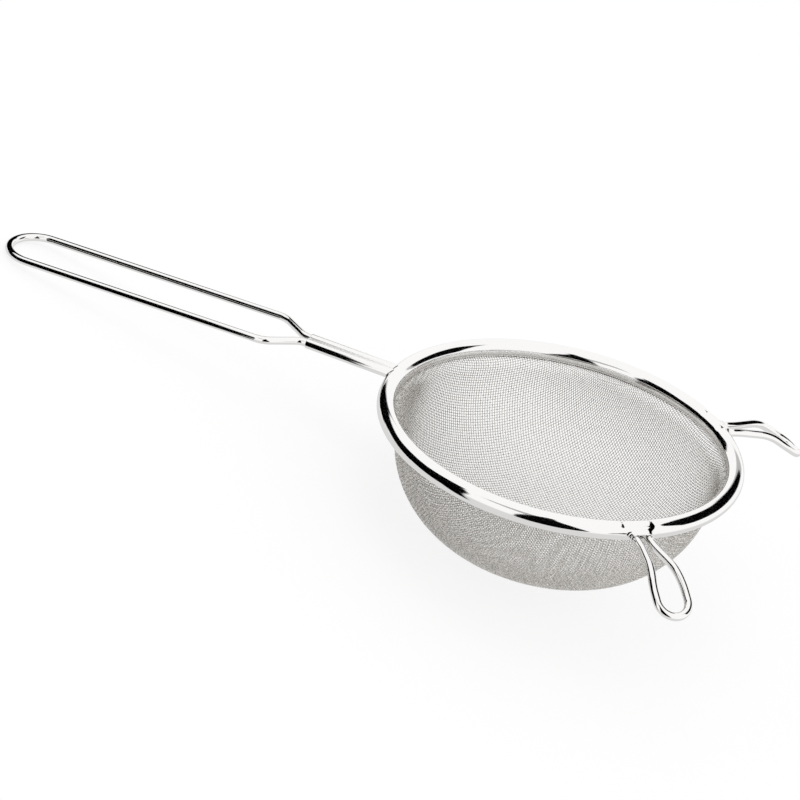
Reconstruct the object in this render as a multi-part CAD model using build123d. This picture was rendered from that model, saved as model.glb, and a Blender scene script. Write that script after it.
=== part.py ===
from build123d import *
import math
import os

# Hand strainer: a bowl of woven wire cloth, pressed to shape, whose edge is
# trapped between a wire ring and the strip that is rolled round that ring.
# A loop handle of bent wire and two rest ears are welded to the ring and come
# out through openings in the strip.
# All sizes are millimetres. The parts are drawn in the rim's own frame, with
# the rim level, its centre at the origin and the handle along -X, and are then
# set down as the strainer rests on a table.

# Rim
rim_diameter = 160.0
bead_diameter = 8.0
strip_thickness = 0.5
ring_wire = 5.0

# Bowl
cloth_thickness = 0.64
wall_inset = 6.2
flare_radius = 3.4
wall_height = 2.2
corner_share = 0.88
bowl_depth = 60.3
cloth_gap = 0.06
cloth_lap = 1.2
slot_play = 0.1

# Openings that stand for the cloth's mesh. They lie between bars that follow
# its two directions of wire, which cross at the lowest point.
opening_count = 12
bisections = 30
grid_bar = 4.3
grid_turn = 47.0
grid_overrun = 3.0
least_share = 0.2

# Handle
handle_wire = 3.5
grip_spacing = 27.1
neck_spacing = 5.2
neck_rise = 1.4
neck_length = 38.5
shoulder_length = 13.5
grip_length = 113.5
grip_drop_angle = 1.76
pinch_radius = 8.0
shoulder_radius = 10.0

# Sleeve that is pressed over the two wires of the neck
sleeve_wall = 0.5
sleeve_play = 0.05
sleeve_valley_radius = 3.0
sleeve_seat = 1.2

# Rest ears
ear_wire = 3.5
ear_angle = 46.0
ear_drop = 0.7
ear_neck_spacing = 5.9
ear_width = 14.1
ear_neck_run = 7.5
ear_knee_run = 22.6
ear_shoulder_run = 31.0
ear_length = 44.4
ear_first_angle = 3.0
ear_second_angle = 30.9
ear_neck_radius = 30.0
ear_knee_radius = 20.0
ear_shoulder_radius = 36.0

# Openings in the strip, and the hoods that it forms over the ears' legs
hole_play = 0.1
hood_reach = 2.0

bead_radius = bead_diameter / 2
ring_radius = ring_wire / 2
rim_radius = rim_diameter / 2
bead_centre = rim_radius - bead_radius
cavity_radius = bead_radius - strip_thickness
handle_radius = handle_wire / 2
ear_radius = ear_wire / 2


def section(x, z):
    """A point of a section that is turned about the bowl's axis."""
    return Vector(x, 0, z)


# Levels of the cloth's edge, where it runs flat under the ring
cloth_top = -(ring_radius + cloth_gap)
cloth_bottom = cloth_top - cloth_thickness
wall_radius = bead_centre - wall_inset
wall_top = cloth_bottom - flare_radius
wall_bottom = wall_top - wall_height
edge_radius = bead_centre + cloth_lap

# The dome: a corner arc that runs on from the wall, and a flatter bottom arc
# that is tangent to it and has its centre on the axis
corner_drop = bowl_depth + wall_bottom
corner_radius = corner_share * corner_drop
corner_offset = wall_radius - corner_radius
bottom_radius = (corner_drop**2 + corner_offset**2 - corner_radius**2) / (
    2 * (corner_drop - corner_radius)
)
bottom_centre = bottom_radius - bowl_depth
joint_angle = math.atan2(corner_offset, bottom_centre - wall_bottom)


def dome_point(angle, inward):
    """A point of the bottom arc, measured from the axis."""
    radius = bottom_radius - inward
    return section(radius * math.sin(angle), bottom_centre - radius * math.cos(angle))


def corner_point(angle, inward):
    """A point of the corner arc, measured from the downward direction."""
    radius = corner_radius - inward
    return section(
        corner_offset + radius * math.sin(angle),
        wall_bottom - radius * math.cos(angle),
    )


def cloth_face(inward):
    """One face of the cloth, from the axis out to its cut edge."""
    level = cloth_bottom + inward
    flare = flare_radius + inward
    flare_x = wall_radius + flare_radius
    half = math.sqrt(0.5)
    right_angle = math.pi / 2
    return [
        ThreePointArc(
            dome_point(0, inward),
            dome_point(joint_angle / 2, inward),
            dome_point(joint_angle, inward),
        ),
        ThreePointArc(
            corner_point(joint_angle, inward),
            corner_point((joint_angle + right_angle) / 2, inward),
            corner_point(right_angle, inward),
        ),
        Line(
            section(wall_radius - inward, wall_bottom),
            section(wall_radius - inward, wall_top),
        ),
        ThreePointArc(
            section(wall_radius - inward, wall_top),
            section(flare_x - flare * half, wall_top + flare * half),
            section(flare_x, level),
        ),
        Line(section(flare_x, level), section(edge_radius, level)),
    ]


def make_mesh_bowl():
    """The pressed wire cloth, as a shell two wires thick with a grid of openings."""
    outer = cloth_face(0)
    inner = cloth_face(cloth_thickness)
    ends = [
        Line(section(0, -bowl_depth), section(0, cloth_thickness - bowl_depth)),
        Line(section(edge_radius, cloth_bottom), section(edge_radius, cloth_top)),
    ]
    shell = revolve(make_face(Wire(outer + inner + ends)), Axis.Z, 360)
    return shell - mesh_openings()


def meridian_point(run):
    """A point of the outer face, by its distance from the lowest point."""
    past = run - bottom_radius * joint_angle
    rise = past - corner_radius * (math.pi / 2 - joint_angle)
    if past < 0:
        return dome_point(run / bottom_radius, 0)
    if rise < 0:
        return corner_point(joint_angle + past / corner_radius, 0)
    return section(wall_radius, wall_bottom + rise)


def outside_by(point):
    """How far a point lies outside the bowl's outer face."""
    across = math.hypot(point.X, point.Y)
    down = bottom_centre - point.Z
    if point.Z > wall_bottom:
        return across - wall_radius
    if math.atan2(across, down) > joint_angle:
        return math.hypot(across - corner_offset, point.Z - wall_bottom) - corner_radius
    return math.hypot(across, down) - bottom_radius


def next_crossing(one, other, shared, pitch):
    """The point of the face a pitch from two crossings, away from the one they share."""
    middle = (one + other) / 2
    side = other - one
    ahead = middle - shared
    ahead = (ahead - side * (ahead.dot(side) / side.dot(side))).normalized()
    outward = side.cross(ahead).normalized()
    reach = math.sqrt(pitch**2 - side.dot(side) / 4)
    low = -math.pi / 2
    high = math.pi / 2
    for _ in range(bisections):
        angle = (low + high) / 2
        point = middle + ahead * (reach * math.cos(angle)) + outward * (reach * math.sin(angle))
        if outside_by(point) < 0:
            low = angle
        else:
            high = angle
    return point


def grid_crossings(pitch):
    """Where the bars cross in one quarter of the bowl.

    Flat cloth that is pressed to a bowl keeps the length of its wires, so each
    crossing lies a pitch from its neighbours and the squares between them shear.
    """
    steps = range(opening_count // 2 + 1)
    crossings = {}
    for number in steps:
        point = meridian_point(number * pitch)
        crossings[number, 0] = point
        crossings[0, number] = Vector(0, point.X, point.Z)
    for i in steps[1:]:
        for j in steps[1:]:
            crossings[i, j] = next_crossing(
                crossings[i, j - 1], crossings[i - 1, j], crossings[i - 1, j - 1], pitch
            )
    return crossings


def mesh_openings():
    """The grid of openings, all over the dome below the wall."""
    dome_run = bottom_radius * joint_angle + corner_radius * (math.pi / 2 - joint_angle)
    pitch = 2 * dome_run / opening_count
    crossings = grid_crossings(pitch)
    open_side = pitch - grid_bar
    below_wall = Pos(0, 0, wall_bottom - rim_radius) * Box(rim_diameter, rim_diameter, rim_diameter)
    openings = []
    for i, j in crossings:
        if (i + 1, j + 1) not in crossings:
            continue
        corners = [crossings[i, j], crossings[i + 1, j], crossings[i + 1, j + 1], crossings[i, j + 1]]
        middle = sum(corners, Vector(0, 0, 0)) / len(corners)
        across = (corners[2] - corners[0]).cross(corners[3] - corners[1])
        plane = Plane(origin=middle, z_dir=across)
        inset = [plane.to_local_coords(middle + (c - middle) * (open_side / pitch)) for c in corners]
        sides = make_face(Polyline(*[(c.X, c.Y) for c in inset], close=True))
        opening = extrude(plane * sides, amount=grid_overrun, both=True)
        whole = opening.volume
        opening = opening & below_wall
        if opening is None or opening.volume < least_share * whole:
            continue
        quarters = range(4)
        openings += [Rot(0, 0, grid_turn + 90 * quarter) * opening for quarter in quarters]
    return openings


def bead(radius):
    """A ring of round section on the bead's centre line."""
    return Torus(bead_centre, radius)


def handle_points():
    """Corners of one leg of the handle, from the ring out to the round end."""
    drop = math.radians(grip_drop_angle)
    pinch = rim_radius + neck_length
    turn = math.atan2((grip_spacing - neck_spacing) / 2, shoulder_length)
    bend = pinch + pinch_radius * math.tan(turn / 2)

    def leg(out, across):
        down = max(out - bend, 0)
        return Vector(
            -(min(out, bend) + down * math.cos(drop)),
            across,
            neck_rise - down * math.sin(drop),
        )

    shoulder = bend + shoulder_length
    straight = shoulder + grip_length
    half = grip_spacing / 2
    return [
        leg(bead_centre + ring_radius / 2, neck_spacing / 2),
        leg(bend, neck_spacing / 2),
        leg(shoulder, half),
        leg(straight, half),
        leg(straight + half, 0),
    ]


def flip(point):
    return Vector(point.X, -point.Y, point.Z)


def bent_wire(leg, tip, radii, radius):
    """A round wire along a leg, round an end arc and back along the other leg."""
    out = FilletPolyline(*leg, radius=radii)
    back = FilletPolyline(*[flip(point) for point in reversed(leg)], radius=radii[::-1])
    end = ThreePointArc(leg[-1], tip, flip(leg[-1]))
    path = Wire(out.edges() + end.edges() + back.edges())
    start = Plane(origin=leg[0], z_dir=leg[1] - leg[0])
    return sweep(start * Circle(radius), path=path)


def make_handle_wire():
    """The handle, one wire whose two ends are seated on the ring."""
    *leg, tip = handle_points()
    wire = bent_wire(leg, tip, [pinch_radius, shoulder_radius], handle_radius)
    return wire - bead(ring_radius)


def sleeve_outline(inward):
    """Two round lobes over the wires, joined by a shallow valley."""
    lobe = handle_radius + sleeve_play + sleeve_wall - inward
    valley = sleeve_valley_radius + inward
    half = neck_spacing / 2
    reach = lobe + valley
    height = math.sqrt(reach**2 - half**2)
    touch_y = half - lobe * half / reach
    touch_z = lobe * height / reach
    arcs = []
    for side in (1, -1):
        arcs.append(
            ThreePointArc(
                (side * touch_y, -side * touch_z),
                (side * (half + lobe), 0),
                (side * touch_y, side * touch_z),
            )
        )
        arcs.append(
            ThreePointArc(
                (side * touch_y, side * touch_z),
                (0, side * (height - valley)),
                (-side * touch_y, side * touch_z),
            )
        )
    return make_face(Wire(arcs))


def make_neck_sleeve():
    """The flattened tube that binds the two wires, seated on the bead."""
    outer_end = rim_radius + neck_length
    length = neck_length + sleeve_seat
    sheet = sleeve_outline(0) - sleeve_outline(sleeve_wall)
    end = Plane(origin=(-outer_end, 0, neck_rise), x_dir=(0, 1, 0), z_dir=(1, 0, 0))
    return extrude(end * sheet, amount=length) - bead(bead_radius)


def ear_points():
    """Corners of one leg of an ear, in its own upright plane, and its tip."""
    first = math.radians(ear_first_angle)
    second = math.radians(ear_second_angle)
    half = ear_width / 2
    spread = (half - ear_neck_spacing / 2) / (ear_shoulder_run - ear_neck_run)

    def leg(along, across):
        near = min(along, ear_knee_run)
        far = max(along - ear_knee_run, 0)
        return Vector(
            rim_radius + near * math.cos(first) + far * math.cos(second),
            across,
            -ear_drop - near * math.sin(first) - far * math.sin(second),
        )

    knee = ear_neck_spacing / 2 + spread * (ear_knee_run - ear_neck_run)
    foot = ring_radius / 2 - bead_radius
    return [
        leg(foot, ear_neck_spacing / 2),
        leg(ear_neck_run, ear_neck_spacing / 2),
        leg(ear_knee_run, knee),
        leg(ear_shoulder_run, half),
        leg(ear_length - half, half),
        leg(ear_length, 0),
    ]


def make_rest_ear(side):
    """One rest ear, a teardrop of wire that is bent down past the rim."""
    *leg, tip = ear_points()
    radii = [ear_neck_radius, ear_knee_radius, ear_shoulder_radius]
    wire = bent_wire(leg, tip, radii, ear_radius)
    return Rot(0, 0, side * ear_angle) * wire - bead(ring_radius)


def make_rim_band():
    """The rolled strip, with its slot for the cloth and its openings."""
    profile = Plane.XZ * Pos(bead_centre, 0) * (Circle(bead_radius) - Circle(cavity_radius))
    band = revolve(profile, Axis.Z, 360)
    slot_height = cloth_thickness + 2 * slot_play
    slot_middle = (cloth_top + cloth_bottom) / 2
    slot = Cylinder(bead_centre, slot_height) - Cylinder(wall_radius, slot_height)
    band -= Pos(0, 0, slot_middle) * slot
    reach = 2 * bead_radius
    hole = Rot(0, 90, 0) * Cylinder(handle_radius + hole_play, reach)
    hole_middle = -(bead_centre + ring_radius / 2 + bead_radius)
    for side in (1, -1):
        band -= Pos(hole_middle, side * neck_spacing / 2, neck_rise) * hole
    for side in (1, -1):
        turn = Rot(0, 0, side * ear_angle)
        band += turn * ear_hood()
        band -= turn * ear_saddle(ear_radius + hole_play, 2 * bead_radius)
    return band


def ear_saddle(radius, length):
    """A rounded bar over both legs of an ear, with an open mouth below it."""
    start = bead_centre + ring_radius / 2
    plane = Plane(origin=(start, 0, -ear_drop), x_dir=(0, 1, 0), z_dir=(1, 0, 0))
    bar = extrude(plane * SlotCenterToCenter(ear_neck_spacing, 2 * radius), amount=length)
    width = ear_neck_spacing + 2 * radius
    mouth = Box(length, width, rim_radius)
    return bar + Pos(start + length / 2, 0, -ear_drop - rim_radius / 2) * mouth


def ear_hood():
    """The saddle that the strip forms over an ear's two legs."""
    hood_radius = ear_radius + hole_play + strip_thickness
    length = rim_radius + hood_reach - bead_centre - ring_radius / 2
    hood = ear_saddle(hood_radius, length)
    above = Pos(rim_radius, 0, rim_radius / 2 - ear_drop) * Box(rim_radius, rim_radius, rim_radius)
    return (hood & above) - bead(cavity_radius)


def rest_tilt():
    """How far the rim leans when bowl and handle end both touch the table."""
    tip = handle_points()[-1]
    across = -tip.X
    up = bottom_centre - tip.Z
    spread = math.hypot(across, up)
    lean = math.atan2(up, across) + math.acos((bottom_radius - handle_radius) / spread)
    return 90 - math.degrees(lean)


parts = {
    "mesh_bowl": make_mesh_bowl(),
    "rim_band": make_rim_band(),
    "support_ring": bead(ring_radius),
    "handle_wire": make_handle_wire(),
    "neck_sleeve": make_neck_sleeve(),
    "rest_ear_left": make_rest_ear(1),
    "rest_ear_right": make_rest_ear(-1),
}

tilted = {name: Rot(0, -rest_tilt(), 0) * shape for name, shape in parts.items()}
box = Compound(list(tilted.values())).bounding_box()
seat = Pos(-box.center().X, -box.center().Y, -box.min.Z)

os.makedirs("parts", exist_ok=True)
for name, shape in tilted.items():
    export_step(seat * shape, f"parts/{name}.step")
print("rest tilt", round(rest_tilt(), 3), "rim centre", (seat * Pos(0, 0, 0)).position)
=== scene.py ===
import math

import bpy
import numpy as np
from mathutils import Matrix, Vector


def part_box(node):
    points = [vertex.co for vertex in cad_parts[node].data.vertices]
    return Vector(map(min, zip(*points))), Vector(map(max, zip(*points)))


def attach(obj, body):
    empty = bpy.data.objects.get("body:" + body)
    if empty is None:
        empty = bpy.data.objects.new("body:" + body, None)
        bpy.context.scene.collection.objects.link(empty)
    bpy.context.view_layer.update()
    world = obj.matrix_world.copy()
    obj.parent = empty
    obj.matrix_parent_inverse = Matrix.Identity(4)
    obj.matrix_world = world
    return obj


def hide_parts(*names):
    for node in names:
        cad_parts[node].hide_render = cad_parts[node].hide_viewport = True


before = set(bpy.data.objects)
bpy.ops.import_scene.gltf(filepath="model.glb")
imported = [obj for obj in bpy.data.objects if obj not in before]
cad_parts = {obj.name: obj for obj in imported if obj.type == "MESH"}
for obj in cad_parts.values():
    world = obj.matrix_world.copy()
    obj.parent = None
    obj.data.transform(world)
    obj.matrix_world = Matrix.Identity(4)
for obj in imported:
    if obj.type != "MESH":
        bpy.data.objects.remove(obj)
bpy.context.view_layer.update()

# Rim, in millimetres: a ring of round wire inside a rolled strip
bead_radius = 4.0
strip_thickness = 0.5
slot_play = 0.1
ring_wire = 5.0

# Cloth, in millimetres and degrees. Its wall stands inside the rim, flares out
# under the ring and ends there, and its squares are turned from the handle
bowl_depth = 60.3
wall_inset = 6.2
wall_drop = 2.2
corner_share = 0.88
flare_radius = 3.4
cloth_drop = 3.2
cloth_lap = 1.2
cloth_pitch = 1.2
cloth_wire = 0.32
cloth_turn = 47.0

# Handle, in millimetres and degrees
handle_wire = 3.5
neck_spacing = 5.2
neck_rise = 1.4
neck_length = 38.5
pinch_radius = 8.0
shoulder_length = 13.5
shoulder_radius = 10.0
grip_spacing = 27.1
grip_length = 113.5
grip_drop_angle = 1.76

# Sleeve on the handle's neck, in millimetres. Its edge is the rounding of its open
# end, and its lining is how far it is drawn inside that end
sleeve_wall = 0.5
sleeve_play = 0.05
sleeve_valley_radius = 3.0
sleeve_gap = 0.15
sleeve_edge = 0.18
sleeve_lining = 2.0

# Rest ears, in millimetres and degrees. The runs and the length are along the ear
# from the rim, and the radii are of its bends at the neck, the knee and the shoulder
ear_sides = {"rest_ear_left": 1, "rest_ear_right": -1}
ear_wire = 3.5
ear_angle = 46.0
ear_drop = 0.7
ear_neck_spacing = 5.9
ear_width = 14.1
ear_neck_run = 7.5
ear_knee_run = 22.6
ear_shoulder_run = 31.0
ear_length = 44.4
ear_first_angle = 3.0
ear_second_angle = 30.9
ear_radii = (30.0, 20.0, 36.0)

# Hoods in the strip over the ears' legs, and the dents that pressing them left,
# in millimetres and degrees. A dent has died away its tail's number of widths out
hood_play = 0.1
hood_half = (ear_neck_spacing + ear_wire) / 2 + hood_play
hood_start = ring_wire / 4
hood_reach = 2.0
hood_blend = 1.5
hood_lip_angle = 10.0
dent_depth = 0.35
dent_place = 2.2
dent_width = 1.6
dent_tail = 3

# Fineness of the meshes, in millimetres, degrees and counts
arc_step = 4.0
arc_fewest = 3
wire_sides = 32
cloth_sides = 5
cloth_pieces = 4
ring_stations = 600
strip_steps = 60
strip_halvings = 24
hood_step = 0.25
lobe_steps = 36
valley_steps = 12
edge_turns = (30, 60, 90)

# How the cloth's crossings are found: a number of rounds, and the trial step and
# the miss allowed, in millimetres
net_rounds = 10
net_nudge = 1e-3
net_miss = cloth_pitch / 100

mm = 0.001

# The rim's own frame: level, centred, with the handle along -X
band_low, band_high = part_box("rim_band")
band_half = (band_high - band_low) / 2 / mm
bead_centre = band_half.y - bead_radius
rim_radius = bead_centre + bead_radius
rest_tilt = math.asin((band_half.z - bead_radius) / bead_centre)
set_down = Matrix.Translation((band_low + band_high) / 2) @ Matrix.Rotation(-rest_tilt, 4, "Y")


# Colours and nodes
def colour(hex_code):
    """An sRGB hex value as a linear colour."""
    shares = [int(hex_code[i : i + 2], 16) / 255 for i in (1, 3, 5)]
    linear = [s / 12.92 if s <= 0.04045 else ((s + 0.055) / 1.055) ** 2.4 for s in shares]
    return (*linear, 1.0)


def add_node(tree, kind, settings=None, links=None, **values):
    """Adds a node, with its settings, its plain values and what feeds its inputs."""
    node = tree.nodes.new(kind)
    for name, value in (settings or {}).items():
        setattr(node, name, value)
    for name, value in values.items():
        node.inputs[name.replace("_", " ")].default_value = value
    for name, source in (links or {}).items():
        tree.links.new(source, node.inputs[name])
    return node


def start_material(name):
    """An empty material and its node tree."""
    material = bpy.data.materials.new(name)
    material.use_nodes = True
    material.node_tree.nodes.clear()
    return material, material.node_tree


# Meshes
def make_piece(name, points, faces, material, node, surface=None):
    """A smooth mesh in place of a node, from points in the rim's frame, in millimetres."""
    mesh = bpy.data.meshes.new(name)
    mesh.from_pydata((np.asarray(points) * mm).tolist(), [], [list(face) for face in faces])
    mesh.transform(set_down)
    mesh.polygons.foreach_set("use_smooth", [True] * len(mesh.polygons))
    if surface is not None:
        layer = mesh.uv_layers.new(name="along_and_round")
        corners = np.empty(len(mesh.loops), int)
        mesh.loops.foreach_get("vertex_index", corners)
        layer.data.foreach_set("uv", np.asarray(surface)[corners].ravel())
    mesh.materials.append(material)
    piece = bpy.data.objects.new(name, mesh)
    bpy.context.scene.collection.objects.link(piece)
    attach(piece, "root")
    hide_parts(node)
    return piece


def apply_modifiers(piece):
    """Turns a piece's modifiers into mesh."""
    done = bpy.data.meshes.new_from_object(
        piece.evaluated_get(bpy.context.evaluated_depsgraph_get())
    )
    piece.modifiers.clear()
    piece.data = done


def unit(vectors):
    """The same directions, each of length one."""
    return vectors / np.linalg.norm(vectors, axis=-1, keepdims=True)


def spin(degrees):
    """Turns rows of points about the rim's axis."""
    turn = math.radians(degrees)
    return np.array(
        [[math.cos(turn), math.sin(turn), 0], [-math.sin(turn), math.cos(turn), 0], [0, 0, 1]]
    )


def rounded_path(points, radii):
    """A line through corner points, each corner rounded by an arc of its radius."""
    points = [Vector(point) for point in points]
    path = [points[0]]
    for before, corner, after, radius in zip(points, points[1:], points[2:], radii):
        back = (before - corner).normalized()
        ahead = (after - corner).normalized()
        turn = math.pi - back.angle(ahead)
        reach = radius * math.tan(turn / 2)
        centre = corner + (back + ahead).normalized() * (radius / math.cos(turn / 2))
        start = corner + back * reach - centre
        axis = start.cross(ahead)
        steps = max(arc_fewest, math.ceil(math.degrees(turn) / arc_step))
        for step in range(steps + 1):
            path.append(centre + Matrix.Rotation(turn * step / steps, 3, axis) @ start)
    path.append(points[-1])
    return path


def loop_path(leg, tip, radii):
    """A bent wire's centre line: out along a leg, round a half turn and back."""
    out = rounded_path(leg, radii)
    flip = Matrix.Diagonal((1, -1, 1))
    end = Vector(leg[-1])
    across = Vector((0, end.y, 0))
    middle = end - across
    ahead = Vector(tip) - middle
    steps = math.ceil(180 / arc_step)
    angles = [math.pi * step / steps for step in range(1, steps)]
    turn = [middle + across * math.cos(angle) + ahead * math.sin(angle) for angle in angles]
    return np.array(out + turn + [flip @ point for point in reversed(out)])


def tube(path, radius):
    """A round wire along a line, with its length and girth as surface coordinates."""
    path = np.asarray(path, float)
    ahead = unit(np.gradient(path, axis=0))
    side = unit(np.cross(ahead[0], (0, 0, 1)))
    points, surface = [], []
    run = np.concatenate([[0], np.cumsum(np.linalg.norm(np.diff(path, axis=0), axis=1))])
    for place, direction, along in zip(path, ahead, run):
        side = unit(side - direction * np.dot(side, direction))
        up = np.cross(side, direction)
        for number in range(wire_sides):
            angle = 2 * math.pi * number / wire_sides
            points.append(place + radius * (side * math.cos(angle) + up * math.sin(angle)))
            surface.append((along, radius * min(angle, 2 * math.pi - angle)))
    faces = []
    for ring in range(len(path) - 1):
        for number in range(wire_sides):
            a = ring * wire_sides + number
            b = ring * wire_sides + (number + 1) % wire_sides
            faces.append((a, b, b + wire_sides, a + wire_sides))
    last = (len(path) - 1) * wire_sides
    faces.append(tuple(range(wire_sides))[::-1])
    faces.append(tuple(range(last, last + wire_sides)))
    return points, faces, surface


# Woven cloth
class Bowl:
    """The middle surface of the pressed cloth, by arc length from its lowest point.

    A shallow bottom meets a tighter corner, then a short wall and a flare that
    turns out to the flat edge under the ring.
    """

    def __init__(self, inward):
        wall = bead_centre - wall_inset
        top = -cloth_drop - flare_radius
        drop = bowl_depth + top - wall_drop
        corner = corner_share * drop
        offset = wall - corner
        bottom = (drop**2 + offset**2 - corner**2) / (2 * (drop - corner))
        joint = math.atan2(offset, bottom - drop)
        self.offset = offset
        self.joint = joint
        self.wall = wall - inward
        self.wall_low = top - wall_drop
        self.bottom = bottom - inward
        self.corner = corner - inward
        self.flare = flare_radius + inward
        self.centre = bottom - bowl_depth
        self.ends = np.cumsum(
            [
                self.bottom * joint,
                self.corner * (math.pi / 2 - joint),
                wall_drop,
                self.flare * math.pi / 2,
                bead_centre + cloth_lap - self.wall - self.flare,
            ]
        )

    def section(self, run):
        """Radius and height at an arc length."""
        ends = self.ends
        in_bottom = run / self.bottom
        in_corner = self.joint + (run - ends[0]) / self.corner
        in_flare = np.clip((run - ends[2]) / self.flare, 0, math.pi / 2)
        past_flare = np.maximum(run - ends[3], 0)
        parts = [run <= ends[0], run <= ends[1], run <= ends[2], run > ends[2]]
        radius = np.select(
            parts,
            [
                self.bottom * np.sin(in_bottom),
                self.offset + self.corner * np.sin(in_corner),
                self.wall,
                self.wall + self.flare * (1 - np.cos(in_flare)) + past_flare,
            ],
        )
        height = np.select(
            parts,
            [
                self.centre - self.bottom * np.cos(in_bottom),
                self.wall_low - self.corner * np.cos(in_corner),
                self.wall_low + run - ends[1],
                self.wall_low + wall_drop + self.flare * np.sin(in_flare),
            ],
        )
        return radius, height

    def place(self, run, angle):
        """The point at an arc length and a direction."""
        radius, height = self.section(run)
        return np.stack([radius * np.cos(angle), radius * np.sin(angle), height], -1)


def weave_quarter(bowl, pitch):
    """One quarter of the net that flat square cloth becomes when it is pressed to a bowl.

    Two wires cross at the lowest point and stay on meridians, and every other
    crossing lies one pitch from its two neighbours, so the wires keep their
    length and the squares shear, most of all near the rim between the two.
    """
    count = int(bowl.ends[-1] / pitch)
    run = np.full((count + 1, count + 1), np.nan)
    angle = np.full((count + 1, count + 1), np.nan)
    run[:, 0] = run[0, :] = np.arange(count + 1) * pitch
    angle[:, 0] = 0.0
    angle[0, :] = math.pi / 2
    turn_nudge = net_nudge / bowl.wall
    for total in range(2, 2 * count + 1):
        i = np.arange(max(1, total - count), min(count, total - 1) + 1)
        j = total - i
        first = bowl.place(run[i, j - 1], angle[i, j - 1])
        second = bowl.place(run[i - 1, j], angle[i - 1, j])
        shared = bowl.place(run[i - 1, j - 1], angle[i - 1, j - 1])
        guess = first + second - shared
        s = run[i, j - 1] + run[i - 1, j] - run[i - 1, j - 1]
        t = np.arctan2(guess[:, 1], guess[:, 0])
        for _ in range(net_rounds):
            here = bowl.place(s, t)
            along = (bowl.place(s + net_nudge, t) - here) / net_nudge
            around = (bowl.place(s, t + turn_nudge) - here) / turn_nudge
            a, b = here - first, here - second
            miss_a = (a * a).sum(1) - pitch**2
            miss_b = (b * b).sum(1) - pitch**2
            aa, ab = 2 * (a * along).sum(1), 2 * (a * around).sum(1)
            ba, bb = 2 * (b * along).sum(1), 2 * (b * around).sum(1)
            scale = aa * bb - ab * ba
            shift = (miss_a * bb - miss_b * ab) / scale
            swing = (aa * miss_b - ba * miss_a) / scale
            s = s - np.clip(shift, -pitch / 2, pitch / 2)
            t = t - np.clip(swing, -pitch / bowl.wall, pitch / bowl.wall)
        here = bowl.place(s, t)
        miss = np.abs(np.linalg.norm(here - first, axis=1) - pitch)
        miss += np.abs(np.linalg.norm(here - second, axis=1) - pitch)
        good = (miss < net_miss) & (s > 0) & (s < bowl.ends[-1])
        run[i, j] = np.where(good, s, np.nan)
        angle[i, j] = np.where(good, t, np.nan)
    return bowl.place(run, angle)


def mirror_net(quarter):
    """The whole net from its quarter, with the lowest crossing in the middle."""
    half = np.concatenate([quarter[:0:-1] * (-1, 1, 1), quarter])
    return np.concatenate([half[:, :0:-1] * (1, -1, 1), half], axis=1)


def net_normals(net):
    """Directions out of the bowl at each crossing, from the crossings around it."""
    padded = np.pad(net, ((1, 1), (1, 1), (0, 0)), constant_values=np.nan)

    def slope(ahead, behind):
        return np.where(np.isnan(ahead), net, ahead) - np.where(np.isnan(behind), net, behind)

    first = slope(padded[2:, 1:-1], padded[:-2, 1:-1])
    second = slope(padded[1:-1, 2:], padded[1:-1, :-2])
    with np.errstate(invalid="ignore"):
        return -unit(np.cross(first, second))


def cloth_wires(net, normals, crossing):
    """Every wire of one direction: it runs over one wire and under the next.

    A wire has a ring of points at each crossing and one halfway to the next.
    """
    radius = cloth_wire / 2
    there = ~np.isnan(net[..., 0])
    path = net + normals * (crossing * radius)[..., None]
    padded = np.pad(path, ((1, 1), (0, 0), (0, 0)), constant_values=np.nan)
    ahead = np.where(np.isnan(padded[2:]), path, padded[2:])
    behind = np.where(np.isnan(padded[:-2]), path, padded[:-2])
    with np.errstate(invalid="ignore"):
        along = unit(ahead - behind)
        out = unit(normals - along * (normals * along).sum(-1, keepdims=True))
    side = np.cross(along, out)

    joined = there[:-1] & there[1:]
    slant = unit((path[1:] - path[:-1])[joined])
    tilt = (normals[1:] + normals[:-1])[joined]
    tilt = unit(tilt - slant * (tilt * slant).sum(-1, keepdims=True))
    centres = np.concatenate([path[there], (path[1:] + path[:-1])[joined] / 2])
    outs = np.concatenate([out[there], tilt])
    sides = np.concatenate([side[there], np.cross(slant, tilt)])
    turns = 2 * math.pi * np.arange(cloth_sides) / cloth_sides
    rings = centres[:, None] + radius * (
        outs[:, None] * np.cos(turns)[:, None] + sides[:, None] * np.sin(turns)[:, None]
    )

    number = np.full(there.shape, -1)
    number[there] = np.arange(there.sum())
    start, end = number[:-1][joined], number[1:][joined]
    between = there.sum() + np.arange(joined.sum())
    start, between, end = [places[:, None] * cloth_sides for places in (start, between, end)]
    spokes = np.arange(cloth_sides)
    nexts = (spokes + 1) % cloth_sides
    faces = np.concatenate(
        [
            np.stack([a + spokes, b + spokes, b + nexts, a + nexts], -1).reshape(-1, 4)
            for a, b in ((start, between), (between, end))
        ]
    )
    before = np.pad(there, ((1, 0), (0, 0)))[:-1]
    after = np.pad(there, ((0, 1), (0, 0)))[1:]
    lone = there & ~before & ~after
    first = number[there & ~before & ~lone][:, None] * cloth_sides + spokes
    last = number[there & ~after & ~lone][:, None] * cloth_sides + spokes[::-1]
    return rings.reshape(-1, 3), [*faces.tolist(), *first.tolist(), *last.tolist()]


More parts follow.
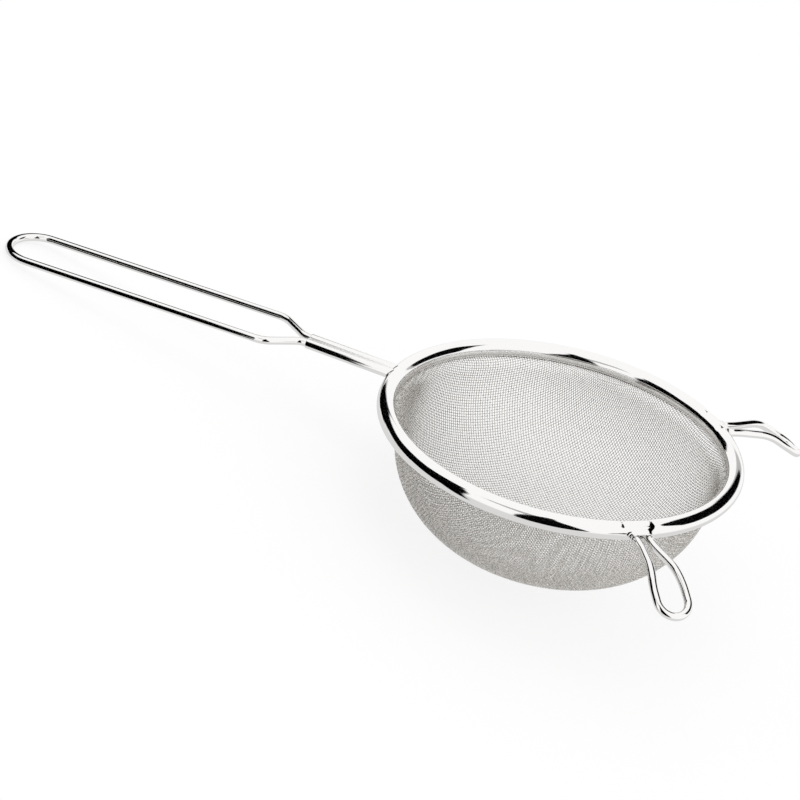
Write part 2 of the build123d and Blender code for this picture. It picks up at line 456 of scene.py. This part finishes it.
def make_mesh_bowl(material):
    """The wire cloth: two directions of wire, each in four pieces side by side."""
    net = mirror_net(weave_quarter(Bowl(cloth_wire), cloth_pitch)) @ spin(cloth_turn)
    normals = net_normals(net)
    cuts = np.linspace(0, net.shape[0], cloth_pieces + 1).astype(int)
    rows, columns = np.indices(net.shape[:2])
    crossing = np.where((rows + columns) % 2 == 0, 1.0, -1.0)
    families = {
        "warp_wires": (net, normals, crossing),
        "weft_wires": (net.swapaxes(0, 1), normals.swapaxes(0, 1), -crossing.T),
    }
    for family, (places, outward, over) in families.items():
        for piece, (low, high) in enumerate(zip(cuts, cuts[1:]), start=1):
            span = slice(low, high)
            points, faces = cloth_wires(places[:, span], outward[:, span], over[:, span])
            name = f"{family}_{piece}"
            make_piece(name, points, faces, material, "mesh_bowl")


# Rim
def strip_stations():
    """Directions round the ring, close together where the ears come out."""
    count = math.ceil((hood_half + dent_place + dent_tail * dent_width) / hood_step)
    across = np.arange(-count, count + 1) * hood_half / round(hood_half / hood_step)
    near = across / rim_radius
    kept = np.linspace(-math.pi, math.pi, ring_stations, endpoint=False)
    for side in ear_sides.values():
        middle = side * math.radians(ear_angle)
        kept = kept[np.abs(kept - middle) > near[-1] + hood_step / rim_radius]
        kept = np.concatenate([kept, middle + near])
    return np.sort(kept)


def smooth_union(one, other, blend):
    """The nearer of two distances, with the corner between them rounded."""
    share = np.clip(0.5 + 0.5 * (other - one) / blend, 0, 1)
    return other + (one - other) * share - blend * share * (1 - share)


def strip_distance(out, across, up):
    """Distance to the rolled strip's outer face, which rises to a hood over an ear's legs."""
    beside = (np.abs(across) - hood_half - dent_place) / dent_width
    on_top = np.clip((up + out - rim_radius + bead_radius) / bead_radius, 0, 1)
    dent = dent_depth * np.exp(-(beside**2)) * on_top
    bead = np.hypot(out - bead_centre, up) - bead_radius + dent
    hood_radius = ear_wire / 2 + hood_play + strip_thickness
    sideways = np.maximum(np.abs(across) - ear_neck_spacing / 2, 0)
    hood = np.hypot(sideways, up + ear_drop) - hood_radius
    hood = np.maximum(hood, out - rim_radius - hood_reach)
    hood = np.maximum(hood, bead_centre + hood_start - out)
    return smooth_union(bead, hood, hood_blend)


def strip_reach(angle, section):
    """How far the strip's outer face lies from the bead's centre line, found by halving."""
    across = np.full(angle.shape, rim_radius)
    for side in ear_sides.values():
        offset = (angle - side * math.radians(ear_angle)) * rim_radius
        across = np.where(np.abs(offset) < np.abs(across), offset, across)
    low = np.full(angle.shape, bead_radius - hood_blend)
    high = np.full(angle.shape, bead_radius + hood_reach + hood_blend)
    for _ in range(strip_halvings):
        middle = (low + high) / 2
        out, up = bead_centre + middle * np.cos(section), middle * np.sin(section)
        inside = strip_distance(out, across, up) < 0
        low = np.where(inside, middle, low)
        high = np.where(inside, high, middle)
    return low


def under_a_hood(angle):
    """Whether a direction lies over an ear's legs, where the strip is cut away for them."""
    return any(
        abs(angle - side * math.radians(ear_angle)) * rim_radius < hood_half
        for side in ear_sides.values()
    )


def make_rim_band(material):
    """The strip that is rolled round the ring and the edge of the cloth.

    Its section starts under the cloth, goes out and over the ring, and ends
    above the cloth. Below each hood it is open from the mouth to the lip.
    """
    stations = strip_stations()
    below = -math.pi + math.asin((cloth_drop + slot_play) / bead_radius)
    above = math.pi + math.asin((cloth_drop - 2 * cloth_wire - slot_play) / bead_radius)
    mouth = -math.acos(hood_start / bead_radius)
    marks = [below, mouth, math.radians(hood_lip_angle), above]
    counts = [round(strip_steps * (b - a) / (above - below)) for a, b in zip(marks, marks[1:])]
    spans = [np.linspace(a, b, n, endpoint=False) for a, b, n in zip(marks, marks[1:], counts)]
    sections = np.concatenate([*spans, [above]])
    open_columns = range(counts[0], counts[0] + counts[1])

    angle, section = np.meshgrid(stations, sections, indexing="ij")
    reach = strip_reach(angle, section)
    radius = bead_centre + reach * np.cos(section)
    points = np.stack([radius * np.cos(angle), radius * np.sin(angle), reach * np.sin(section)], -1)
    surface = np.stack([angle * bead_centre, section * bead_radius], -1)

    rows, columns = angle.shape
    faces = []
    for row in range(rows):
        following = (row + 1) % rows
        middle = (stations[row] + stations[following]) / 2 if following else math.pi
        open_below = under_a_hood(middle)
        for column in range(columns - 1):
            if open_below and column in open_columns:
                continue
            a, b = row * columns + column, following * columns + column
            faces.append((a, b, b + 1, a + 1))
    used = sorted({corner for face in faces for corner in face})
    renumber = {old: new for new, old in enumerate(used)}
    faces = [[renumber[corner] for corner in face] for face in faces]

    band = make_piece(
        "rim_strip", points.reshape(-1, 3)[used], faces, material, "rim_band",
        surface.reshape(-1, 2)[used],
    )
    # The mesh so far is the outer face, and the sheet's thickness goes inward
    sheet = band.modifiers.new("sheet", "SOLIDIFY")
    sheet.thickness = strip_thickness * mm
    sheet.offset = -1
    sheet.use_even_offset = True
    apply_modifiers(band)


# Bent wires
def make_handle(material):
    """The handle: one wire, pinched at the neck and bent round at the far end."""
    drop = math.radians(grip_drop_angle)
    turn = math.atan2((grip_spacing - neck_spacing) / 2, shoulder_length)
    bend = rim_radius + neck_length + pinch_radius * math.tan(turn / 2)

    def leg(out, across):
        down = max(out - bend, 0)
        return (
            -(min(out, bend) + down * math.cos(drop)),
            across,
            neck_rise - down * math.sin(drop),
        )

    shoulder = bend + shoulder_length
    straight = shoulder + grip_length
    half = grip_spacing / 2
    corners = [
        leg(bead_centre, neck_spacing / 2),
        leg(bend, neck_spacing / 2),
        leg(shoulder, half),
        leg(straight, half),
    ]
    path = loop_path(corners, leg(straight + half, 0), (pinch_radius, shoulder_radius))
    points, faces, surface = tube(path, handle_wire / 2)
    make_piece("handle_loop", points, faces, material, "handle_wire", surface)


def make_ear(node, side, material):
    """A rest ear: a teardrop of wire that is bent down past the rim."""
    first = math.radians(ear_first_angle)
    second = math.radians(ear_second_angle)
    half = ear_width / 2
    spread = (half - ear_neck_spacing / 2) / (ear_shoulder_run - ear_neck_run)

    def leg(along, across):
        near = min(along, ear_knee_run)
        far = max(along - ear_knee_run, 0)
        return (
            rim_radius + near * math.cos(first) + far * math.cos(second),
            across,
            -ear_drop - near * math.sin(first) - far * math.sin(second),
        )

    knee = ear_neck_spacing / 2 + spread * (ear_knee_run - ear_neck_run)
    corners = [
        leg(-bead_radius, ear_neck_spacing / 2),
        leg(ear_neck_run, ear_neck_spacing / 2),
        leg(ear_knee_run, knee),
        leg(ear_shoulder_run, half),
        leg(ear_length - half, half),
    ]
    path = loop_path(corners, leg(ear_length, 0), ear_radii)
    points, faces, surface = tube(path @ spin(side * ear_angle), ear_wire / 2)
    make_piece(f"{node}_loop", points, faces, material, node, surface)


# Sleeve
def sleeve_outline():
    """The sleeve's outer face, cut across: a lobe round each wire and two valleys between."""
    half = neck_spacing / 2
    lobe = handle_wire / 2 + sleeve_play + sleeve_wall
    valley = sleeve_valley_radius
    height = math.sqrt((lobe + valley) ** 2 - half**2)
    lean = math.atan2(half, height)
    outline = []
    for side in (1, -1):
        for step in range(lobe_steps + 1):
            angle = (-math.pi / 2 - lean) + (math.pi + 2 * lean) * step / lobe_steps
            across = side * half + side * lobe * math.cos(angle)
            outline.append((across, side * lobe * math.sin(angle)))
        for step in range(1, valley_steps):
            angle = lean - 2 * lean * step / valley_steps
            across = side * valley * math.sin(angle)
            outline.append((across, side * (height - valley * math.cos(angle))))
    return np.array(outline)


def make_sleeve(material):
    """The tube that is pressed over the two wires of the neck, with a valley between them.

    It runs from a little way inside its open end, round the end's edge and
    along its outer face to the bead, where it is cut to fit.
    """
    outline = sleeve_outline()
    ahead = np.roll(outline, -1, axis=0) - np.roll(outline, 1, axis=0)
    outward = unit(np.stack([ahead[:, 1], -ahead[:, 0]], -1))
    girth = np.cumsum(np.linalg.norm(outline - np.roll(outline, 1, axis=0), axis=1))
    outer_end = rim_radius + neck_length
    above_bead = outline[:, 1] + neck_rise
    cope = np.sqrt(np.maximum((bead_radius + sleeve_gap) ** 2 - above_bead**2, 0))
    stops = [
        (sleeve_wall, outer_end - sleeve_lining),
        (sleeve_wall, outer_end),
        (sleeve_edge, outer_end),
    ]
    for turn in np.radians(edge_turns):
        inset, back = sleeve_edge * (1 - math.sin(turn)), sleeve_edge * (1 - math.cos(turn))
        stops.append((inset, outer_end - back))
    stops.append((0.0, bead_centre + cope))

    count = len(outline)
    points, surface, faces = [], [], []
    for inset, place in stops:
        spot = outline - outward * inset
        for (y, z), x, along in zip(spot, np.broadcast_to(place, count), girth):
            points.append((-x, y, z + neck_rise))
            surface.append((x, along))
    for ring in range(len(stops) - 1):
        for number in range(count):
            a, b = ring * count + number, ring * count + (number + 1) % count
            faces.append((a, a + count, b + count, b))
    make_piece(
        "pressed_neck_sleeve", points, faces, material, "neck_sleeve", surface
    )


# Materials

# The steel's tone is lighter than the metal's own, so that its highlights reach
# white. Each roughness is for a polished face and varies by the spread
steel_tone = "#F9F8F7"
strip_roughness = 0.07
wire_roughness = 0.06
sleeve_roughness = 0.08
steel_spread = 0.02

# Drawing and rolling leave lines a few micrometres apart, which are too fine to
# show. The grain of the steel and the patches on the cloth's wires are drawn as
# coarse as they need to show, in millimetres
strip_grain = (9.0, 0.12)
wire_grain = (14.0, 0.15)
sleeve_grain = (6.0, 0.2)
grain_relief = 0.002
press_relief = 0.003
cloth_patch = 0.5
cloth_relief = 0.01

# The cloth's gloss from patch to patch, and its tones by their place in the noise
cloth_gloss = (0.08, 0.26)
cloth_tones = {0.36: "#B4B0A9", 0.64: "#FFFDFA"}


def make_bright_steel(name, roughness, grain, relief):
    """Bright stainless steel: a soft mirror, broken a little along its grain."""
    material, tree = start_material(name)
    place = add_node(tree, "ShaderNodeUVMap", {"uv_map": "along_and_round"})
    lines = add_node(
        tree, "ShaderNodeMapping", links={"Vector": place.outputs["UV"]},
        Scale=(1 / grain[0], 1 / grain[1], 1.0),
    )
    fine = add_node(
        tree, "ShaderNodeTexNoise", {"noise_dimensions": "2D"}, {"Vector": lines.outputs["Vector"]},
        Scale=1.0, Detail=3.0, Roughness=0.6,
    )
    gloss = add_node(
        tree, "ShaderNodeMapRange", links={"Value": fine.outputs["Fac"]},
        To_Min=roughness - steel_spread, To_Max=roughness + steel_spread,
    )
    bump = add_node(
        tree, "ShaderNodeBump", links={"Height": fine.outputs["Fac"]},
        Strength=1.0, Distance=relief * mm,
    )
    body = add_node(
        tree, "ShaderNodeBsdfPrincipled",
        links={"Roughness": gloss.outputs["Result"], "Normal": bump.outputs["Normal"]},
        Base_Color=colour(steel_tone), Metallic=1.0,
    )
    add_node(tree, "ShaderNodeOutputMaterial", links={"Surface": body.outputs["BSDF"]})
    return material


def make_cloth_steel():
    """Stainless steel wire, drawn and woven: an uneven sparkle from wire to wire."""
    material, tree = start_material("woven_stainless_wire")
    place = add_node(tree, "ShaderNodeTexCoord")
    patches = add_node(
        tree, "ShaderNodeTexNoise", {"noise_dimensions": "3D"}, {"Vector": place.outputs["Object"]},
        Scale=1 / (cloth_patch * mm), Detail=2.0, Roughness=0.55,
    )
    gloss = add_node(
        tree, "ShaderNodeMapRange", links={"Value": patches.outputs["Fac"]},
        To_Min=cloth_gloss[0], To_Max=cloth_gloss[1],
    )
    tint = add_node(tree, "ShaderNodeValToRGB", links={"Fac": patches.outputs["Fac"]})
    for stop, (share, tone) in zip(tint.color_ramp.elements, cloth_tones.items()):
        stop.position = share
        stop.color = colour(tone)
    bump = add_node(
        tree, "ShaderNodeBump", links={"Height": patches.outputs["Fac"]},
        Strength=1.0, Distance=cloth_relief * mm,
    )
    body = add_node(
        tree, "ShaderNodeBsdfPrincipled",
        links={
            "Base Color": tint.outputs["Color"],
            "Roughness": gloss.outputs["Result"],
            "Normal": bump.outputs["Normal"],
        },
        Metallic=1.0,
    )
    add_node(tree, "ShaderNodeOutputMaterial", links={"Surface": body.outputs["BSDF"]})
    return material


# Stage

# Light of strength 1 is white. The floor reaches this far each way, in metres, and
# its glow is the share of it that stays white to the camera, whatever the shadow
white = 1.0
floor_half = 6.0
floor_tone = "#F6F6F6"
floor_glow = 0.75

# The studio's light from above and, as a table gives it back, from below. One turns
# into the other between two heights of a ray's direction, of which -1 is straight down
sky_light = 1.0
table_light = 0.72
horizon = (-0.4, -0.1)

# The lamp, in metres and watts
softbox_place = (-0.3, -0.5, 1.8)
softbox_size = 1.2
softbox_power = 5.0

# How bright each felt looks in a mirror
felt_light = {"black_felt": 0.0, "lit_felt": 0.45, "felt_edge": 0.5}

# Felt cards that stand round the object, for polished metal to mirror. Each is
# flat: its axis and place, its felt, and its corners across and up, in millimetres
cards = {
    "card_front_left": (
        "Y", -400, "black_felt",
        [
            (-1300, -600), (-500, -350), (-300, -260), (-200, -400), (-95, -400), (-110, -200),
            (-140, -50), (-155, 100), (-195, 210), (-260, 300), (-350, 420), (-410, 540),
            (-440, 620), (-700, 690), (-1300, 690),
        ],
    ),
    "card_front_right": (
        "Y", -400, "black_felt",
        [
            (100, -40), (160, -60), (300, -40), (440, 20), (300, 230), (200, 400), (150, 550),
            (100, 800), (60, 800), (50, 500), (60, 300), (75, 100),
        ],
    ),
    "card_front_link": (
        "Y", -405, "lit_felt",
        [(-260, 480), (-100, 400), (55, 330), (60, 560), (-200, 620)],
    ),
    "card_back_right": (
        "Y", 230, "black_felt",
        [
            (90, 200), (200, 140), (430, 215), (820, 390), (1300, 700), (1300, 1400), (600, 1400),
            (430, 880), (270, 600), (175, 430), (135, 260),
        ],
    ),
    "card_back_left": (
        "Y", 230, "black_felt",
        [
            (-1300, -150), (-800, -80), (-230, -40), (-190, 60), (-170, 150), (-110, 200),
            (-200, 215), (-400, 280), (-800, 400), (-1300, 560),
        ],
    ),
    "card_left": (
        "X", -1300, "black_felt", [(-400, -700), (230, -150), (230, 560), (-400, 690)],
    ),
}

# A black card has a brighter one behind it, for a softer edge: how much larger it
# is, and how far behind, in millimetres
fringe_growth = 1.04
fringe_step = 2

# Camera: where it stands from the rim's centre in millimetres, which way it looks
# and its lean in degrees, its lens and film in millimetres, its reach in metres
camera_place = (328.53, -1475.07, 790.28)
camera_turn = 15.22
camera_dip = 27.65
camera_lean = 12.92
camera_lens = 180.0
camera_sensor = 36.0
camera_reach = 20.0


def straight_rays(tree):
    """One for rays from the camera, straight or through glass, and nought for the others."""
    ray = add_node(tree, "ShaderNodeLightPath")
    links = {0: ray.outputs["Is Camera Ray"], 1: ray.outputs["Is Transmission Ray"]}
    return add_node(tree, "ShaderNodeMath", {"operation": "MAXIMUM"}, links).outputs[0]


def make_floor():
    """Plain white paper, which keeps a faint shadow of the object."""
    mesh = bpy.data.meshes.new("floor")
    corners = [(x * floor_half, y * floor_half, 0) for x, y in ((-1, -1), (1, -1), (1, 1), (-1, 1))]
    mesh.from_pydata(corners, [], [(0, 1, 2, 3)])
    floor = bpy.data.objects.new("floor", mesh)
    bpy.context.scene.collection.objects.link(floor)
    floor.visible_glossy = False
    material, tree = start_material("white_paper")
    matt = add_node(tree, "ShaderNodeBsdfDiffuse", Color=colour(floor_tone))
    glow = add_node(tree, "ShaderNodeEmission", Strength=white)
    links = {0: straight_rays(tree)}
    share = add_node(tree, "ShaderNodeMath", {"operation": "MULTIPLY"}, links)
    share.inputs[1].default_value = floor_glow
    links = {"Fac": share.outputs[0], 1: matt.outputs["BSDF"], 2: glow.outputs["Emission"]}
    mix = add_node(tree, "ShaderNodeMixShader", links=links)
    add_node(tree, "ShaderNodeOutputMaterial", links={"Surface": mix.outputs["Shader"]})
    mesh.materials.append(material)


def make_felt(name, light):
    """Matt felt on a studio card: only how bright it looks in a mirror counts."""
    material, tree = start_material(name)
    glow = add_node(tree, "ShaderNodeEmission", Strength=light)
    add_node(tree, "ShaderNodeOutputMaterial", links={"Surface": glow.outputs["Emission"]})
    return material


def make_card(name, axis, place, felt, corners):
    """One flat card that only mirrors see."""
    mesh = bpy.data.meshes.new(name)
    points = [(place, a, b) if axis == "X" else (a, place, b) for a, b in corners]
    mesh.from_pydata([Vector(point) * mm for point in points], [], [range(len(points))])
    mesh.materials.append(felt)
    card = bpy.data.objects.new(name, mesh)
    bpy.context.scene.collection.objects.link(card)
    card.visible_camera = card.visible_diffuse = card.visible_transmission = False
    card.visible_shadow = card.visible_volume_scatter = False


def make_cards():
    """All the cards, each black one with its brighter edge."""
    felts = {name: make_felt(name, light) for name, light in felt_light.items()}
    for name, (axis, place, felt, corners) in cards.items():
        make_card(name, axis, place, felts[felt], corners)
        if felt == "black_felt":
            middle = np.mean(corners, axis=0)
            grown = (middle + (np.array(corners) - middle) * fringe_growth).tolist()
            behind = place + math.copysign(fringe_step, place)
            make_card(f"{name}_fringe", axis, behind, felts["felt_edge"], grown)


def make_world():
    """White studio light, dimmer from below, where it comes off the table."""
    world = bpy.data.worlds.new("studio")
    bpy.context.scene.world = world
    world.use_nodes = True
    tree = world.node_tree
    tree.nodes.clear()
    place = add_node(tree, "ShaderNodeTexCoord")
    split = add_node(tree, "ShaderNodeSeparateXYZ", links={"Vector": place.outputs["Generated"]})
    level = add_node(
        tree, "ShaderNodeMapRange", {"interpolation_type": "SMOOTHSTEP"},
        {"Value": split.outputs["Z"]},
        From_Min=horizon[0], From_Max=horizon[1], To_Min=table_light, To_Max=sky_light,
    )
    seen = add_node(
        tree, "ShaderNodeMix", {"data_type": "FLOAT"},
        {"Factor": straight_rays(tree), "A": level.outputs["Result"]},
        B=white,
    )
    sky = add_node(
        tree, "ShaderNodeBackground", links={"Strength": seen.outputs["Result"]},
        Color=colour("#FFFFFF"),
    )
    add_node(tree, "ShaderNodeOutputWorld", links={"Surface": sky.outputs["Background"]})


def make_softbox():
    """One large soft lamp from above, for a faint shadow under the object."""
    data = bpy.data.lights.new("softbox", "AREA")
    data.shape = "DISK"
    data.size = softbox_size
    data.energy = softbox_power
    lamp = bpy.data.objects.new("softbox", data)
    bpy.context.scene.collection.objects.link(lamp)
    lamp.location = softbox_place
    lamp.rotation_euler = (-lamp.location).to_track_quat("-Z", "Y").to_euler()
    lamp.visible_glossy = False


def make_camera():
    """A long lens from the front, a little to the right, at the angle of the photograph."""
    data = bpy.data.cameras.new("camera")
    data.lens = camera_lens
    data.sensor_width = camera_sensor
    data.clip_end = camera_reach
    camera = bpy.data.objects.new("camera", data)
    bpy.context.scene.collection.objects.link(camera)
    camera.matrix_world = (
        set_down
        @ Matrix.Translation(Vector(camera_place) * mm)
        @ Matrix.Rotation(math.radians(camera_turn), 4, "Z")
        @ Matrix.Rotation(math.radians(90 - camera_dip), 4, "X")
        @ Matrix.Rotation(math.radians(camera_lean), 4, "Z")
    )
    bpy.context.scene.camera = camera


# Strip, cold rolled and polished: faint short lines along the rim
strip_steel = make_bright_steel(
    "rolled_stainless_strip", strip_roughness, strip_grain, grain_relief
)
# Wire, drawn and polished: the brightest, with long lines along it
wire_steel = make_bright_steel("drawn_stainless_wire", wire_roughness, wire_grain, grain_relief)
# Sheet, pressed to shape: a little duller and more uneven
sleeve_steel = make_bright_steel(
    "pressed_stainless_sheet", sleeve_roughness, sleeve_grain, press_relief
)
cloth_steel = make_cloth_steel()

make_mesh_bowl(cloth_steel)
make_rim_band(strip_steel)
make_handle(wire_steel)
make_sleeve(sleeve_steel)
for node, side in ear_sides.items():
    make_ear(node, side, wire_steel)
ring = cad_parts["support_ring"]
ring.data.materials.clear()
ring.data.materials.append(cloth_steel)

make_floor()
make_cards()
make_world()
make_softbox()
make_camera()
bpy.context.scene.view_settings.view_transform = "Standard"
